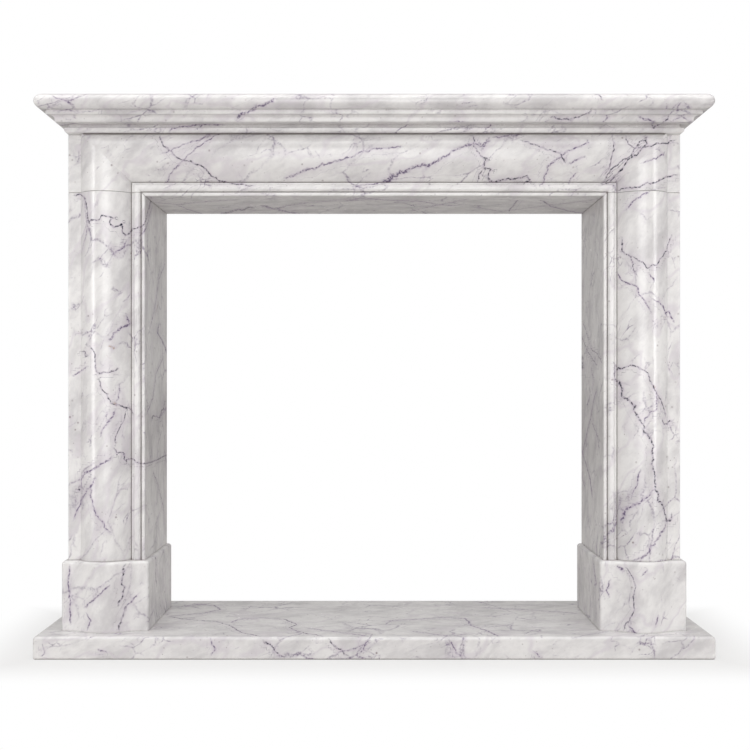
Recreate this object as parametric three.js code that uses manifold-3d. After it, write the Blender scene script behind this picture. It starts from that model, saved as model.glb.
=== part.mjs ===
// A marble fireplace mantel with a bolection frame, standing on its hearth slab.
// Millimetres, +Z up. The front faces -Y, and the origin is the middle of the hearth's underside.
// Setbacks are measured towards the back from the plane of the hearth's front edge.

import * as THREE from "three";
import { mergeVertices } from "three/addons/utils/BufferGeometryUtils.js";
import Module from "manifold-3d";

// Driving dimensions
const HEARTH = { width: 1372, depth: 381, height: 46, topArris: 4.5, footArris: 2, corner: 4 };
const SHELF = { width: 1372, height: 51.5, slab: 30, corner: 6, innerCorner: 2.5 };
const BED = { height: 18.5, inner: 56.5, lip: 49.5, lipFoot: 5, lipTop: 9.5 };
const TOTAL_HEIGHT = 1140;
const BACK_SETBACK = 316;
const OPENING = { halfWidth: 474, top: 943 };
const FRAME = { setback: 69, arris: 2.5 };
const PLINTH = { top: 190, overhang: 10, setback: 55, arris: 5, corner: 3 };

// The frame's face, from its outer edge in to the opening
const MARGIN = 26;
const BOLECTION = { width: 105, rise: 26, peakShare: 0.4, innerDrop: 5 };
const BEAD = { stepWidth: 4.5, stepSink: 1, width: 15, rise: 6, grooveWidth: 1.5, grooveSink: 2 };
const FILLET = { width: 7, rise: 1.5 };

// The bow on the middle of each plinth's front, answering the bolection above it
const BOW = { width: 152, rise: 25 };

// Gap left in the mitred joint between the jambs and the lintel
const JOINT_GAP = 0.3;
const ARC_STEPS = 6;
const BOW_STEPS = 24;

// Derived places
const FACE_WIDTH =
  MARGIN + BOLECTION.width + BEAD.stepWidth + BEAD.width + BEAD.grooveWidth + FILLET.width;
const FRAME_OUTER = OPENING.halfWidth + FACE_WIDTH;
const FRAME_TOP = OPENING.top + FACE_WIDTH;
const JOINT_HEIGHT = OPENING.top + FILLET.width;
const SHELF_FOOT = TOTAL_HEIGHT - SHELF.height;
const LINTEL_TOP = SHELF_FOOT - BED.height;
const depthAt = (setback) => setback - HEARTH.depth / 2;

const wasm = await Module();
wasm.setup();

// Points on an elliptical arc about (cx, cy), angles in degrees, both ends included.
function arc(cx, cy, rx, ry, from, to, steps = ARC_STEPS) {
  return Array.from({ length: steps + 1 }, (_, i) => {
    const angle = THREE.MathUtils.degToRad(from + ((to - from) * i) / steps);
    return new THREE.Vector2(cx + rx * Math.cos(angle), cy + ry * Math.sin(angle));
  });
}

// Circular arc that is level at its crest and falls by `drop` over the horizontal distance `run`.
function flank(crest, run, drop, steps) {
  const radius = (run * run + drop * drop) / (2 * drop);
  return Array.from({ length: steps + 1 }, (_, i) => {
    const across = (run * i) / steps;
    const fall = radius - Math.sqrt(radius * radius - across * across);
    return new THREE.Vector2(crest.x + across, crest.y - fall);
  });
}

// The frame's face as points (distance in from the outer edge, rise from the margin towards the viewer).
function framePoints() {
  const flankSteps = 14;
  const crest = new THREE.Vector2(MARGIN + BOLECTION.width * BOLECTION.peakShare, BOLECTION.rise);
  const outerRun = crest.x - MARGIN;
  const innerRun = BOLECTION.width - outerRun;
  const outerFlank = flank(new THREE.Vector2(-crest.x, crest.y), outerRun, BOLECTION.rise, flankSteps)
    .map((p) => new THREE.Vector2(-p.x, p.y))
    .reverse();
  const innerFlank = flank(crest, innerRun, BOLECTION.rise + BOLECTION.innerDrop, flankSteps).slice(1);
  const bolectionEnd = MARGIN + BOLECTION.width;
  const beadStart = bolectionEnd + BEAD.stepWidth;
  const beadEnd = beadStart + BEAD.width;
  const filletStart = beadEnd + BEAD.grooveWidth;
  const beadArc = arc(
    beadStart + BEAD.width / 2, -BEAD.stepSink, BEAD.width / 2, BEAD.rise, 180, 0, 2 * ARC_STEPS,
  );
  return [
    ...arc(FRAME.arris, -FRAME.arris, FRAME.arris, FRAME.arris, 180, 90, 3),
    ...outerFlank,
    ...innerFlank,
    new THREE.Vector2(bolectionEnd + 0.5, -BEAD.stepSink),
    ...beadArc,
    new THREE.Vector2(beadEnd + 0.2, -BEAD.grooveSink),
    new THREE.Vector2(filletStart, -BEAD.grooveSink),
    new THREE.Vector2(filletStart + 0.4, FILLET.rise),
    ...arc(FACE_WIDTH - FRAME.arris, FILLET.rise - FRAME.arris, FRAME.arris, FRAME.arris, 90, 0, 3),
  ];
}

// Closed section of the frame: its face, then the square back. x runs in from the outer edge, y is depth.
function frameSection() {
  const face = framePoints().map((p) => new THREE.Vector2(p.x, depthAt(FRAME.setback) - p.y));
  const back = depthAt(BACK_SETBACK);
  return [...face, new THREE.Vector2(FACE_WIDTH, back), new THREE.Vector2(0, back)];
}

// Straight extrusion of a flat outline. The basis gives the world directions of the outline's x and y
// and of the extrusion, and start is where the extrusion begins along its own direction.
function prism(outline, basis, start, length) {
  const geometry = new THREE.ExtrudeGeometry(new THREE.Shape(outline), {
    depth: length,
    bevelEnabled: false,
  });
  const turn = new THREE.Matrix4().makeBasis(...basis);
  return geometry.translate(0, 0, start).applyMatrix4(turn);
}

const AXIS_X = new THREE.Vector3(1, 0, 0);
const AXIS_Y = new THREE.Vector3(0, 1, 0);
const AXIS_Z = new THREE.Vector3(0, 0, 1);
const UPRIGHT = [AXIS_X, AXIS_Y, AXIS_Z];
const ACROSS = [AXIS_Y, AXIS_Z, AXIS_X];
const FROM_FRONT = [AXIS_X, AXIS_Z, AXIS_Y.clone().negate()];

// A prism through the whole depth whose outline is drawn on the elevation.
function elevationBlock(corners) {
  const outline = corners.map(([x, z]) => new THREE.Vector2(x, z));
  return prism(outline, FROM_FRONT, -HEARTH.depth, 2 * HEARTH.depth);
}

// A three.js geometry as a manifold solid, and back.
function solid(geometry) {
  const bare = new THREE.BufferGeometry();
  const flat = geometry.index ? geometry.toNonIndexed() : geometry;
  bare.setAttribute("position", flat.getAttribute("position"));
  const merged = mergeVertices(bare, 1e-4);
  return new wasm.Manifold(
    new wasm.Mesh({
      numProp: 3,
      vertProperties: merged.attributes.position.array,
      triVerts: new Uint32Array(merged.index.array),
    }),
  );
}

function geometryOf(manifold) {
  const mesh = manifold.getMesh();
  const geometry = new THREE.BufferGeometry();
  geometry.setAttribute("position", new THREE.BufferAttribute(mesh.vertProperties, 3));
  geometry.setIndex(new THREE.BufferAttribute(mesh.triVerts, 1));
  return geometry;
}

// A closed skin over a stack of level outlines with equal counts, lowest first, drawn anticlockwise.
function stack(levels) {
  const count = levels[0].outline.length;
  const position = levels.flatMap(({ outline, z }) => outline.flatMap((p) => [p.x, p.y, z]));
  const index = [];
  for (let level = 0; level + 1 < levels.length; level++) {
    for (let i = 0; i < count; i++) {
      const a = level * count + i;
      const b = level * count + ((i + 1) % count);
      index.push(a, b, b + count, a, b + count, a + count);
    }
  }
  const last = (levels.length - 1) * count;
  for (const [a, b, c] of THREE.ShapeUtils.triangulateShape(levels[0].outline, [])) index.push(c, b, a);
  for (const [a, b, c] of THREE.ShapeUtils.triangulateShape(levels.at(-1).outline, [])) {
    index.push(last + a, last + b, last + c);
  }
  const geometry = new THREE.BufferGeometry();
  geometry.setAttribute("position", new THREE.Float32BufferAttribute(position, 3));
  return geometry.setIndex(index);
}

// Plan rectangle with rounded front corners and square back ones.
function planRectangle(halfWidth, front, back, radius) {
  const steps = 4;
  return [
    ...arc(-halfWidth + radius, front + radius, radius, radius, 180, 270, steps),
    ...arc(halfWidth - radius, front + radius, radius, radius, 270, 360, steps),
    new THREE.Vector2(halfWidth, back),
    new THREE.Vector2(-halfWidth, back),
  ];
}

// The hearth slab, with eased upper and lower arrises on all but the back edge.
function hearthGeometry() {
  const { width, depth, height, topArris, footArris, corner } = HEARTH;
  const edge = [
    ...arc(footArris, footArris, footArris, footArris, 270, 180, 3),
    ...arc(topArris, height - topArris, topArris, topArris, 180, 90, 4),
  ];
  return stack(
    edge.map(({ x: inset, y: z }) => ({
      z,
      outline: planRectangle(width / 2 - inset, depthAt(inset), depthAt(depth), corner),
    })),
  );
}

// The bed moulding's edge as (setback from the hearth's front, height above its foot), lowest first:
// a rounded lip, then a hollow that draws back under the shelf.
function bedEdge() {
  const { height, inner, lip, lipFoot, lipTop } = BED;
  const hollow = inner - lip;
  return [
    ...arc(inner, lipFoot, hollow, lipFoot, 270, 180, 4),
    ...arc(lip, lipTop + hollow, hollow, hollow, 270, 360, ARC_STEPS),
    new THREE.Vector2(inner, height),
  ];
}

// The shelf's edge in the same way: a lip with a cove over it, a plain band and a half-round nose.
function shelfEdge() {
  const cove = { lip: 34, lipFoot: 2, lipTop: 6, outer: 23, top: 12.5 };
  const band = { face: 19.5, foot: 12.5, arris: 1.5 };
  const slabFoot = SHELF.height - SHELF.slab;
  const nose = SHELF.slab / 2;
  return [
    ...arc(cove.lip + 2, cove.lipFoot, 2, 2, 270, 180, 3),
    ...arc(cove.outer, cove.lipTop, cove.lip - cove.outer, cove.top - cove.lipTop, 0, 90, ARC_STEPS),
    ...arc(band.face + band.arris, band.foot + band.arris, band.arris, band.arris, 270, 180, 3),
    new THREE.Vector2(band.face, slabFoot),
    ...arc(nose, slabFoot + nose, nose, nose, 270, 90, 16),
  ];
}

// A moulded course: the edge profile carried round the two ends and the front.
function courseGeometry(edge, foot, cornerAt) {
  return stack(
    edge.map(({ x: setback, y: height }) => ({
      z: foot + height,
      outline: planRectangle(
        SHELF.width / 2 - setback,
        depthAt(setback),
        depthAt(BACK_SETBACK),
        cornerAt(height),
      ),
    })),
  );
}

function bedGeometry() {
  return courseGeometry(bedEdge(), LINTEL_TOP, () => SHELF.innerCorner);
}

function shelfGeometry() {
  const slabFoot = SHELF.height - SHELF.slab;
  return courseGeometry(shelfEdge(), SHELF_FOOT, (height) =>
    height < slabFoot ? SHELF.innerCorner : SHELF.corner,
  );
}

// Plan of the right plinth: flat margins, a raised-cosine bow between them, square back.
function plinthOutline(inset) {
  const inner = OPENING.halfWidth - PLINTH.overhang + inset;
  const outer = FRAME_OUTER + PLINTH.overhang - inset;
  const front = depthAt(PLINTH.setback + inset);
  const bow = Array.from({ length: BOW_STEPS + 1 }, (_, i) => {
    const across = (i / BOW_STEPS - 0.5) * BOW.width;
    const swell = BOW.rise * Math.cos((Math.PI * across) / BOW.width) ** 2;
    return new THREE.Vector2((inner + outer) / 2 + across, front - swell);
  });
  const { corner } = PLINTH;
  return [
    ...arc(inner + corner, front + corner, corner, corner, 180, 270, 3),
    ...bow,
    ...arc(outer - corner, front + corner, corner, corner, 270, 360, 3),
    new THREE.Vector2(outer, depthAt(BACK_SETBACK)),
    new THREE.Vector2(inner, depthAt(BACK_SETBACK)),
  ];
}

function plinthGeometry() {
  const { arris, top } = PLINTH;
  const edge = [new THREE.Vector2(0, HEARTH.height), ...arc(arris, top - arris, arris, arris, 180, 90, 4)];
  return stack(edge.map(({ x: inset, y: z }) => ({ z, outline: plinthOutline(inset) })));
}

// The frame's section carried upright as the right jamb's block, or across as the lintel's.
function uprightFrame(foot, top) {
  const plan = frameSection().map((p) => new THREE.Vector2(FRAME_OUTER - p.x, p.y));
  return solid(prism(plan, UPRIGHT, foot, top - foot));
}

function levelFrame() {
  const section = frameSection().map((p) => new THREE.Vector2(p.y, FRAME_TOP - p.x));
  return solid(prism(section, ACROSS, -FRAME_OUTER, 2 * FRAME_OUTER));
}

// The right jamb: its head is level out to the groove beside the fillet, then follows the mitre down.
function jambGeometry() {
  const head = JOINT_HEIGHT - JOINT_GAP;
  const grooveSide = OPENING.halfWidth + FILLET.width;
  const shape = elevationBlock([
    [OPENING.halfWidth - 1, PLINTH.top],
    [FRAME_OUTER + 1, PLINTH.top],
    [FRAME_OUTER + 1, head],
    [grooveSide, head],
    [OPENING.halfWidth - 1, head - FILLET.width - 1],
  ]);
  return geometryOf(uprightFrame(PLINTH.top, FRAME_TOP).intersect(solid(shape)));
}

// The lintel: the level moulding between the two mitres, joined to the short upright ends beyond them.
function lintelGeometry() {
  const mitreAtTop = FRAME_OUTER - (FRAME_TOP - LINTEL_TOP);
  const middle = elevationBlock([
    [-OPENING.halfWidth, OPENING.top],
    [OPENING.halfWidth, OPENING.top],
    [mitreAtTop, LINTEL_TOP],
    [-mitreAtTop, LINTEL_TOP],
  ]);
  const grooveSide = OPENING.halfWidth + FILLET.width;
  const end = elevationBlock([
    [grooveSide, JOINT_HEIGHT],
    [FRAME_OUTER + 1, JOINT_HEIGHT],
    [FRAME_OUTER + 1, LINTEL_TOP],
    [mitreAtTop, LINTEL_TOP],
  ]);
  const rightEnd = uprightFrame(PLINTH.top, FRAME_TOP).intersect(solid(end));
  const leftEnd = rightEnd.mirror([1, 0, 0]);
  return geometryOf(levelFrame().intersect(solid(middle)).add(rightEnd).add(leftEnd));
}

// Polished white marble, a touch greyer in the slab that is walked on
function marble(color, roughness) {
  return new THREE.MeshStandardMaterial({ color, roughness, metalness: 0 });
}

function piece(name, geometry, material) {
  const mesh = new THREE.Mesh(geometry, material);
  mesh.name = name;
  return mesh;
}

const mantel = new THREE.Group();
mantel.add(piece("hearth", hearthGeometry(), marble(0xd6d2d2, 0.3)));

for (const [side, sign] of [["left", -1], ["right", 1]]) {
  const leg = new THREE.Group();
  leg.scale.x = sign;
  leg.add(piece(`plinth_${side}`, plinthGeometry(), marble(0xdfdcdd, 0.25)));
  leg.add(piece(`jamb_${side}`, jambGeometry(), marble(0xe2dfdf, 0.25)));
  mantel.add(leg);
}

mantel.add(piece("lintel", lintelGeometry(), marble(0xe0dddd, 0.25)));
mantel.add(piece("bed_moulding", bedGeometry(), marble(0xdcd9d9, 0.25)));
mantel.add(piece("shelf", shelfGeometry(), marble(0xe3e0e0, 0.22)));

export default mantel;
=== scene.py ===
# %% [markdown]
# # A marble fireplace mantel
# The mantel is eight stones: a hearth slab, two plinths, two jambs, a lintel, a bed moulding and a shelf.
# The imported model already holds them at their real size, as plain faceted solids.
# Here each stone is cut again as a fine, smooth skin in the same place, and polished as veined marble.

from functools import partial

import bpy
import numpy as np
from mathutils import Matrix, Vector


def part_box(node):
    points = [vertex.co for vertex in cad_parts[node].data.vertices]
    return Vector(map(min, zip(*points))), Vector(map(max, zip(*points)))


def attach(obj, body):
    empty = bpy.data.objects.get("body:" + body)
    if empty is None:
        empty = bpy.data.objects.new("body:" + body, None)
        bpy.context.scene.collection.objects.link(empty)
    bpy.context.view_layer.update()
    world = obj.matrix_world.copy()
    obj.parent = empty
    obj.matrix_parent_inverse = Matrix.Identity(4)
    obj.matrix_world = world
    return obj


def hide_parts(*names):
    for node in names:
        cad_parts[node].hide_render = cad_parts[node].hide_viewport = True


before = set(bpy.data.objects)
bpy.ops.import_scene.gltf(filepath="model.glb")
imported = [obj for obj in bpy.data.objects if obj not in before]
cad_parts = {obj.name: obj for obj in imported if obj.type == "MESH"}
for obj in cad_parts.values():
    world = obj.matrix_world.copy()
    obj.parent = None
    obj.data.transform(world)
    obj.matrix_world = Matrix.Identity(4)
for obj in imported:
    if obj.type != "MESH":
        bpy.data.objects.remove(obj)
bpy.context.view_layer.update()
MM = 0.001
stone_box = {name: np.array(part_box(name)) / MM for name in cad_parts}
for name, (low, high) in stone_box.items():
    print(name, "size in mm", np.round(high - low, 1))

# %% [markdown]
# ## Where the camera stands
# The photograph is level and square to the front, so the camera looks straight along +Y.
# Its distance follows from how much smaller the hearth's back edge looks than its front edge.
# The small lens shift puts the vanishing point where the photograph has it, a little below the middle.

# %% Camera
PHOTO_SIDE = 750
FOCAL_LENGTH_PX = 1133.7
VANISHING_POINT_PX = np.array([374.2, 384.5])
EYE_DISTANCE = 2276.0
EYE_HEIGHT = 553.0
SENSOR_WIDTH = 36.0

FRONT = stone_box["hearth"][0, 1]

scene = bpy.context.scene
camera = bpy.data.objects.new("camera", bpy.data.cameras.new("camera"))
scene.collection.objects.link(camera)
camera.location = (0.0, (FRONT - EYE_DISTANCE) * MM, EYE_HEIGHT * MM)
camera.rotation_euler = (np.pi / 2, 0.0, 0.0)
camera.data.sensor_width = SENSOR_WIDTH
camera.data.lens = SENSOR_WIDTH * FOCAL_LENGTH_PX / PHOTO_SIDE
shift = (PHOTO_SIDE / 2 - VANISHING_POINT_PX) / PHOTO_SIDE
camera.data.shift_x = shift[0]
camera.data.shift_y = -shift[1]
scene.camera = camera
print("lens", round(camera.data.lens, 2), "mm, shift", np.round(shift * [1, -1], 4))

# %% [markdown]
# ## Tools for cutting stone
# Every stone is a few rectangular grids of points, one for each of its faces.
# Grids that meet share the points along their common edge, so welding equal points sews them into one
# closed skin. The helpers below make the points of an arc, space samples along a line and sew the grids.


# %% Arcs, sample positions and sewing
WELD = 1e-4
SHARP_ANGLE = np.radians(32)


def arc(centre, radii, start, end, steps):
    """Points on an ellipse: centre + radii * (cos a, sin a), with a evenly from start to end degrees."""
    angle = np.radians(np.linspace(start, end, steps + 1))
    return np.array(centre) + np.array(radii) * np.stack([np.cos(angle), np.sin(angle)], axis=-1)


def spread(marks, step):
    """Positions from the first mark to the last, through every mark, evenly and at most a step apart."""
    counts = [max(1, int(np.ceil((b - a) / step))) for a, b in zip(marks[:-1], marks[1:])]
    runs = [np.linspace(a, b, n + 1)[:-1] for a, b, n in zip(marks[:-1], marks[1:], counts)]
    return np.concatenate([*runs, marks[-1:]])


def sew(grids):
    """Welds the grids' equal points. Returns the points and the quads and triangles between them."""
    starts = np.cumsum([0] + [grid.shape[0] * grid.shape[1] for grid in grids])
    numbers = [s + np.arange(g.shape[0] * g.shape[1]).reshape(g.shape[:2]) for s, g in zip(starts, grids)]
    quads = np.concatenate([
        np.stack([n[:-1, :-1], n[:-1, 1:], n[1:, 1:], n[1:, :-1]], axis=-1).reshape(-1, 4) for n in numbers
    ])
    points = np.concatenate([grid.reshape(-1, 3) for grid in grids])
    keys = np.round(points / WELD).astype(np.int64)
    _, first, weld = np.unique(keys, axis=0, return_index=True, return_inverse=True)
    quads = weld.reshape(-1)[quads]
    pinched = quads == np.roll(quads, -1, axis=1)
    triangles = quads[pinched.sum(axis=1) == 1]
    triangles = triangles[~pinched[pinched.sum(axis=1) == 1]].reshape(-1, 3)
    return points[first], quads[pinched.sum(axis=1) == 0], triangles


def open_edges(quads, triangles):
    """Counts the directed edges that no neighbouring face runs along the other way."""
    edges = np.concatenate([
        np.stack([face, np.roll(face, -1, axis=1)], axis=-1).reshape(-1, 2) for face in (quads, triangles)
    ])
    there, back = ({tuple(e) for e in way.tolist()} for way in (edges, edges[:, ::-1]))
    return len(there - back) + len(edges) - len(there)


def make_stone(name, grids):
    """A mesh object of the sewn grids, smooth except across sharp arrises, that stands for the CAD node."""
    points, quads, triangles = sew(grids)
    mesh = bpy.data.meshes.new(name)
    mesh.from_pydata((points * MM).tolist(), [], quads.tolist() + triangles.tolist())
    mesh.shade_smooth()
    mesh.set_sharp_from_angle(angle=SHARP_ANGLE)
    stone = bpy.data.objects.new(name + "_stone", mesh)
    scene.collection.objects.link(stone)
    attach(stone, "root")
    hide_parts(name)
    print(name, len(points), "points,", 2 * len(quads) + len(triangles), "triangles,",
          open_edges(quads, triangles), "open edges")
    return stone


print("points are welded to", WELD, "mm, and edges are sharp over", round(np.degrees(SHARP_ANGLE)), "degrees")

# %% [markdown]
# ## The bolection frame
# One moulding runs up both jambs and across the lintel. From its outer edge it is a flat margin,
# a swelling bolection, a small step, a bead, a groove and a fillet at the opening.
# The moulding is kept as one list of points (distance in, rise towards the viewer), carried along the frame.

# %% The moulding's face
SETBACK = {"frame": 69.0, "plinth": 55.0}
FRAME_ARRIS = 2.5
MARGIN = 26.0
BOLECTION_WIDTH, BOLECTION_RISE, BOLECTION_CREST, BOLECTION_DROP = 105.0, 26.0, 0.4, 5.0
STEP_WIDTH, STEP_SINK = 4.5, 1.0
BEAD_WIDTH, BEAD_RISE = 15.0, 6.0
GROOVE_WIDTH, GROOVE_SINK = 1.5, 2.0
FILLET_WIDTH, FILLET_RISE = 7.0, 1.5
FACE_WIDTH = MARGIN + BOLECTION_WIDTH + STEP_WIDTH + BEAD_WIDTH + GROOVE_WIDTH + FILLET_WIDTH
GRAIN = 5.0

BACK = stone_box["jamb_right"][1, 1]
FRAME_OUTER = stone_box["jamb_right"][1, 0]
OPENING_HALF = stone_box["jamb_right"][0, 0]
LINTEL_FOOT, LINTEL_TOP = stone_box["lintel"][:, 2]
FRAME_TOP = LINTEL_FOOT + FACE_WIDTH
JOINT = LINTEL_FOOT + FILLET_WIDTH
JOINT_GAP = JOINT - stone_box["jamb_right"][1, 2]
JOINT_ARRIS = 1.2


def flank(crest, run, drop, steps):
    """Circular arc, level at the crest, that has fallen by drop after the run, which may be negative."""
    radius = (run**2 + drop**2) / (2 * drop)
    angle = np.linspace(0, np.arcsin(run / radius), steps + 1)
    return np.stack([crest[0] + radius * np.sin(angle), crest[1] - radius * (1 - np.cos(angle))], axis=-1)


def frame_face():
    """The face's points, from the outer edge in: arris, margin, two flanks, step, bead, groove, fillet."""
    crest = (MARGIN + BOLECTION_WIDTH * BOLECTION_CREST, BOLECTION_RISE)
    bead_start = MARGIN + BOLECTION_WIDTH + STEP_WIDTH
    bead_end = bead_start + BEAD_WIDTH
    margin = spread([FRAME_ARRIS, MARGIN], GRAIN)[1:-1]
    return np.concatenate([
        arc((FRAME_ARRIS, -FRAME_ARRIS), (FRAME_ARRIS, FRAME_ARRIS), 180, 90, 5),
        np.stack([margin, 0 * margin], axis=-1),
        flank(crest, MARGIN - crest[0], BOLECTION_RISE, 18)[::-1],
        flank(crest, MARGIN + BOLECTION_WIDTH - crest[0], BOLECTION_RISE + BOLECTION_DROP, 24)[1:],
        [(bead_start - STEP_WIDTH + 0.5, -STEP_SINK - 0.6), (bead_start - STEP_WIDTH + 1.1, -STEP_SINK)],
        arc((bead_start + BEAD_WIDTH / 2, -STEP_SINK), (BEAD_WIDTH / 2, BEAD_RISE), 180, 0, 20),
        [(bead_end + 0.3, -GROOVE_SINK), (bead_end + GROOVE_WIDTH, -GROOVE_SINK)],
        [(bead_end + GROOVE_WIDTH + 0.4, FILLET_RISE - 0.5), (bead_end + GROOVE_WIDTH + 0.9, FILLET_RISE)],
        arc((FACE_WIDTH - FRAME_ARRIS, FILLET_RISE - FRAME_ARRIS), (FRAME_ARRIS, FRAME_ARRIS), 90, 0, 5),
    ])


FACE = frame_face()
print("frame face", len(FACE), "points over", FACE_WIDTH, "mm")

# %% [markdown]
# The frame's front is a relief over its elevation. At each spot the height of the relief depends only on the
# distance in from the outer edge, so a jamb is a grid of (distance in, height) and the lintel is three such
# grids that meet on its two carved mitres. The walls run straight back from the relief's border.


# %% Jambs
def relief(across, edge_distance):
    """Depth of the face: the margin plane less the moulding's rise, eased in a quarter round at a joint."""
    inside = np.clip(JOINT_ARRIS - edge_distance, 0, JOINT_ARRIS)
    easing = JOINT_ARRIS - np.sqrt(JOINT_ARRIS**2 - inside**2)
    return FRONT + SETBACK["frame"] - np.interp(across, *FACE.T) + easing


def wall(border):
    """Grid from each point of the border straight back to the plane of the back."""
    share = spread([0.0, 1.0], 1.5 * GRAIN / (BACK - FRONT - SETBACK["frame"]))
    grid = np.repeat(border[:, None], len(share), axis=1)
    grid[..., 1] += share * (BACK - grid[..., 1])
    return grid


def flat_back(front):
    """The same grid turned over and laid in the plane of the back."""
    grid = front[::-1].copy()
    grid[..., 1] = BACK
    return grid


def mirrored(grids):
    """The grids on the other side of the middle, turned over so that they still face outwards."""
    return [grid[::-1] * [-1, 1, 1] for grid in grids]


def jamb_grids():
    """Right jamb: x goes in with the face, z rises to a head, level out to the groove and then mitred."""
    across = np.unique(np.append(FACE[:, 0], FACE_WIDTH - FILLET_WIDTH))[:, None]
    foot = stone_box["jamb_right"][0, 2]
    head = JOINT - JOINT_GAP - np.clip(across - FACE_WIDTH + FILLET_WIDTH, 0, None)
    height = JOINT - foot
    marks = np.array([0, 0.4, 1.2, height - 1.2, height - 0.8, height - 0.4, height])
    share = spread(marks / height, GRAIN / height)
    z = foot + (head - foot) * share
    y = relief(across, np.minimum(head - z, z - foot + 0.4))
    front = np.stack([np.broadcast_to(FRAME_OUTER - across, z.shape), y, z], axis=-1)
    border = [front[0], front[:, -1], front[-1, ::-1], front[::-1, 0]]
    return [front, flat_back(front), *[wall(line) for line in border]]


right_jamb = make_stone("jamb_right", jamb_grids())
left_jamb = make_stone("jamb_left", mirrored(jamb_grids()))

# %% [markdown]
# The lintel is one stone with both corners of the frame carved on it, so its mitres are lines in the carving
# and not joints. Three grids could be cut square and overlapped, but only grids that meet on the mitres weld.


# %% Lintel
def lintel_grids():
    """Middle: a grid between the mitres, narrower with each step in. Ends: upright grids up to the mitres."""
    groove = FACE_WIDTH - FILLET_WIDTH
    top_cut = FRAME_TOP - LINTEL_TOP
    across = np.unique(np.concatenate([FACE[:, 0], [groove, top_cut]]))[:, None]
    inner, outer = across[across[:, 0] >= top_cut], across[across[:, 0] <= groove]

    half = FRAME_OUTER - inner
    along = spread(np.array([-1, -0.999, -0.998, 0.998, 0.999, 1]), GRAIN / FRAME_OUTER)[::-1]
    x = half * along
    z = np.broadcast_to(FRAME_TOP - inner, x.shape)
    from_joint = half - np.abs(x) + np.clip(groove - inner, 0, None)
    middle = np.stack([x, relief(inner, from_joint), z], axis=-1)

    share = spread(np.array([0, 0.004, 0.01, 1]), GRAIN / (LINTEL_TOP - JOINT))
    z = JOINT + (np.minimum(LINTEL_TOP, FRAME_TOP - outer) - JOINT) * share
    y = relief(outer, z - JOINT)
    end = np.stack([np.broadcast_to(FRAME_OUTER - outer, z.shape), y, z], axis=-1)

    fronts = [middle, end, *mirrored([end])]
    fillet = inner[:, 0] >= groove
    head = outer[:, 0] <= top_cut
    right = [end[::-1, 0], end[0], end[head, -1]]
    left = [line[::-1] * [-1, 1, 1] for line in right]
    mitre = middle[fillet, 0][::-1]
    border = [*right, *left, middle[0], middle[-1, ::-1], mitre, mitre[::-1] * [-1, 1, 1]]
    return [*fronts, *[flat_back(grid) for grid in fronts], *[wall(line) for line in border]]


lintel = make_stone("lintel", lintel_grids())

# %% [markdown]
# ## Courses and slabs
# The hearth, the plinths, the bed moulding and the shelf are outlines in plan, stacked like contour lines.
# Each level is the same outline drawn in by a little more or less, which makes the rounded edges and the
# mouldings, and a level lid closes the lowest and the highest outline.

# %% Stacked outlines
CORNER_STEPS = 4
DEPTH_STEPS = 56
LENGTH_STEPS = int(np.ptp(stone_box["hearth"][:, 0]) / GRAIN)
BOW_STEPS = 60


def plan_sides(left, right, front, radius, steps, swell=None, back=BACK):
    """The four sides of a plan outline, anticlockwise, split in the middle of its rounded front corners."""
    near = arc((left + radius, front + radius), (radius, radius), 180, 270, 2 * CORNER_STEPS)
    far = arc((right - radius, front + radius), (radius, radius), 270, 360, 2 * CORNER_STEPS)
    x = np.linspace(left + radius, right - radius, steps + 1)[1:-1]
    y = front - (0 if swell is None else swell(x)) + 0 * x
    front_side = np.concatenate([near[CORNER_STEPS:], np.stack([x, y], axis=-1), far[: CORNER_STEPS + 1]])
    side = np.linspace(front + radius, back, DEPTH_STEPS + 1)[1:]
    left_side = np.concatenate([np.stack([left + 0 * side, side], axis=-1)[::-1], near[: CORNER_STEPS + 1]])
    right_side = np.concatenate([far[CORNER_STEPS:], np.stack([right + 0 * side, side], axis=-1)])
    width_share = (front_side[:, 0] - front_side[0, 0]) / np.ptp(front_side[:, 0])
    back_side = np.stack([right - width_share * (right - left), back + 0 * width_share], axis=-1)
    return left_side, front_side, right_side, back_side


def lid(sides, z):
    """Level grid in four sides: both ruled surfaces between facing sides, less the one between corners."""
    left, front, right, back = sides
    left, back = left[::-1], back[::-1]
    s = ((back[:, 0] - back[0, 0]) / (back[-1, 0] - back[0, 0]))[:, None, None]
    t = ((left[:, 1] - left[0, 1]) / (left[-1, 1] - left[0, 1]))[None, :, None]
    ruled = (1 - t) * front[:, None] + t * back[:, None] + (1 - s) * left[None] + s * right[None]
    near_corners = (1 - t) * ((1 - s) * front[0] + s * front[-1])
    far_corners = t * ((1 - s) * back[0] + s * back[-1])
    flat = ruled - near_corners - far_corners
    return np.concatenate([flat, np.full(flat.shape[:2] + (1,), z)], axis=-1)


def course_grids(levels):
    """Skin over a list of (four sides, z), lowest first, with a lid on the lowest and the highest outline."""
    rings = [np.concatenate([*(side[:-1] for side in sides), sides[0][:1]]) for sides, _ in levels]
    heights = [z for _, z in levels]
    skin = np.stack([np.concatenate([r, np.full((len(r), 1), z)], axis=-1) for r, z in zip(rings, heights)])
    return [skin, lid(*levels[0]), lid(*levels[-1])[::-1]]


print("long sides have", LENGTH_STEPS, "steps, short ones", DEPTH_STEPS)

# %% [markdown]
# The hearth is a plain slab. Its arrises are eased, so that they don't chip, and catch a line of light.
# A bevelled box would do for the slab alone, but outlines also make the bowed and moulded stones below.

# %% Hearth
HEARTH_TOP_ARRIS, HEARTH_FOOT_ARRIS, HEARTH_CORNER = 6.0, 3.5, 4.0
HEARTH_FACE_STEPS = 8


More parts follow.
